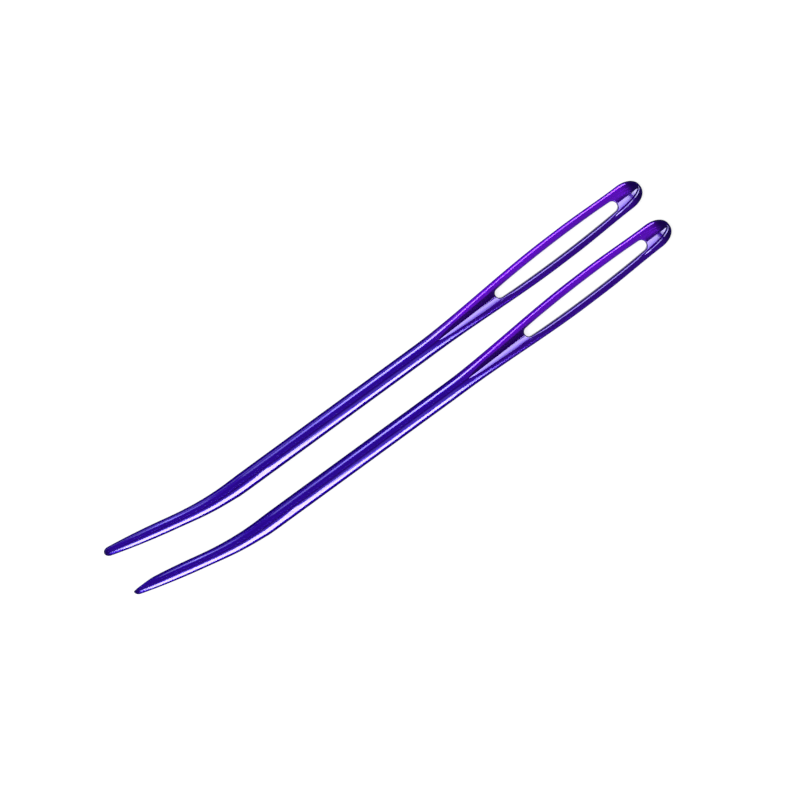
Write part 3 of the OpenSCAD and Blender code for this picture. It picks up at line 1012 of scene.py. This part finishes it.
def overhead_lamp(level):
    """A lamp above the camera, which brings out the dye and leaves the gloss alone. A white table
    under it shines with the radiance `level`."""
    light = bpy.data.lights.new("overhead_lamp", "AREA")
    light.shape = "SQUARE"
    light.size = OVERHEAD_SIDE
    light.energy = level * (math.pi * OVERHEAD_HEIGHT) ** 2
    lamp = scene_object("overhead_lamp", light)
    lamp.matrix_world = (
        Matrix.Rotation(math.radians(-OVERHEAD_TO_TIPS), 4, "Y")
        @ Matrix.Rotation(math.radians(-OVERHEAD_TO_BEND), 4, "X")
        @ Matrix.Translation((0, 0, OVERHEAD_HEIGHT))
    )
    lamp.visible_camera = False
    lamp.visible_glossy = False


def pale_table(settings):
    """The table, which looks white to the camera and in the gloss, and keeps the shadows."""
    half = TABLE_HALF
    corners = [(-half, -half, 0), (half, -half, 0), (half, half, 0), (-half, half, 0)]
    mesh = bpy.data.meshes.new("table_top")
    mesh.from_pydata(corners, [], [(0, 1, 2, 3)])
    table = scene_object("table_top", mesh)
    material = new_material("pale_table")
    tree = material.node_tree
    diffuse = add_node(
        tree, "ShaderNodeBsdfDiffuse", values={"Color": (*settings.floor_colour, 1)}
    )
    rays = add_node(tree, "ShaderNodeLightPath").outputs
    seen = math_node(
        tree,
        "MAXIMUM",
        math_node(tree, "MAXIMUM", rays["Is Camera Ray"], rays["Is Glossy Ray"]),
        rays["Is Transmission Ray"],
    )
    glow = add_node(
        tree,
        "ShaderNodeEmission",
        values={"Strength": math_node(tree, "MULTIPLY", seen, settings.floor_white)},
    )
    both = add_node(
        tree, "ShaderNodeAddShader", values={0: diffuse.outputs[0], 1: glow.outputs[0]}
    )
    add_node(tree, "ShaderNodeOutputMaterial", values={"Surface": both.outputs[0]})
    mesh.materials.append(material)


def room(settings):
    """A dim room in the gloss, with more light for the dye, so that no side of it goes black."""
    world = bpy.data.worlds.new("room")
    world.use_nodes = True
    tree = world.node_tree
    on_dye = add_node(tree, "ShaderNodeLightPath").outputs["Is Diffuse Ray"]
    level = math_node(tree, "MULTIPLY_ADD", on_dye, settings.world_on_dye, settings.world_level)
    background = tree.nodes["Background"]
    background.inputs["Color"].default_value = (1, 1, 1, 1)
    tree.links.new(level, background.inputs["Strength"])
    return world


def camera_over_needles(settings):
    data = bpy.data.cameras.new("camera")
    data.lens = settings.lens
    data.sensor_width = SENSOR_WIDTH
    data.clip_start, data.clip_end = CLIP
    camera = scene_object("camera", data)
    distance = settings.view_width * settings.lens / SENSOR_WIDTH
    camera.matrix_world = (
        Matrix.Translation(LOOKS_AT)
        @ Matrix.Rotation(-settings.view_tilt, 4, "X")
        @ Matrix.Rotation(-settings.view_turn, 4, "Z")
        @ Matrix.Translation((0, 0, distance))
    )
    bpy.context.scene.camera = camera


class NEEDLES_OT_stage(bpy.types.Operator):
    """Add the table, the lamps, the world and the camera"""

    bl_idname = "needles.add_stage"
    bl_label = "Add stage"

    def execute(self, context):
        settings = context.scene.needle_stage
        pale_table(settings)
        for name, radiance, *place in SOFT_BOXES:
            lamp = soft_box(name, getattr(settings, radiance), *place)
            if name in FADES:
                x_dim, x_full, least = FADES[name]
                fade_lamp(lamp, x_dim, x_full, getattr(settings, least))
        overhead_lamp(settings.overhead)
        context.scene.world = room(settings)
        camera_over_needles(settings)
        context.scene.view_settings.view_transform = "Standard"
        return {"FINISHED"}


class NEEDLES_PT_panel(bpy.types.Panel):
    """The buttons that build the scene, and all its settings"""

    bl_label = "Yarn needles"
    bl_idname = "NEEDLES_PT_panel"
    bl_space_type = "VIEW_3D"
    bl_region_type = "UI"
    bl_category = "Yarn needles"

    def draw(self, context):
        layout = self.layout
        for operator in OPERATORS:
            layout.operator(operator.bl_idname)
        for group in ("needle_sizes", "metal_look", "needle_stage"):
            settings = getattr(context.scene, group)
            box = layout.box()
            for name in settings.__annotations__:
                box.prop(settings, name)


OPERATORS = (NEEDLES_OT_blunt, NEEDLES_OT_bevelled, NEEDLES_OT_stage)
SETTINGS = {
    "needle_sizes": NeedleSizes,
    "metal_look": MetalLook,
    "needle_stage": StageSettings,
}


def register():
    for kind in (*SETTINGS.values(), *OPERATORS, NEEDLES_PT_panel):
        bpy.utils.register_class(kind)
    for name, kind in SETTINGS.items():
        setattr(bpy.types.Scene, name, bpy.props.PointerProperty(type=kind))


def unregister():
    for name in SETTINGS:
        delattr(bpy.types.Scene, name)
    for kind in reversed((*SETTINGS.values(), *OPERATORS, NEEDLES_PT_panel)):
        bpy.utils.unregister_class(kind)


def main():
    """Builds the scene."""
    register()
    bpy.ops.needles.add_blunt()
    bpy.ops.needles.add_bevelled()
    bpy.ops.needles.add_stage()


if __name__ == "__main__":
    main()
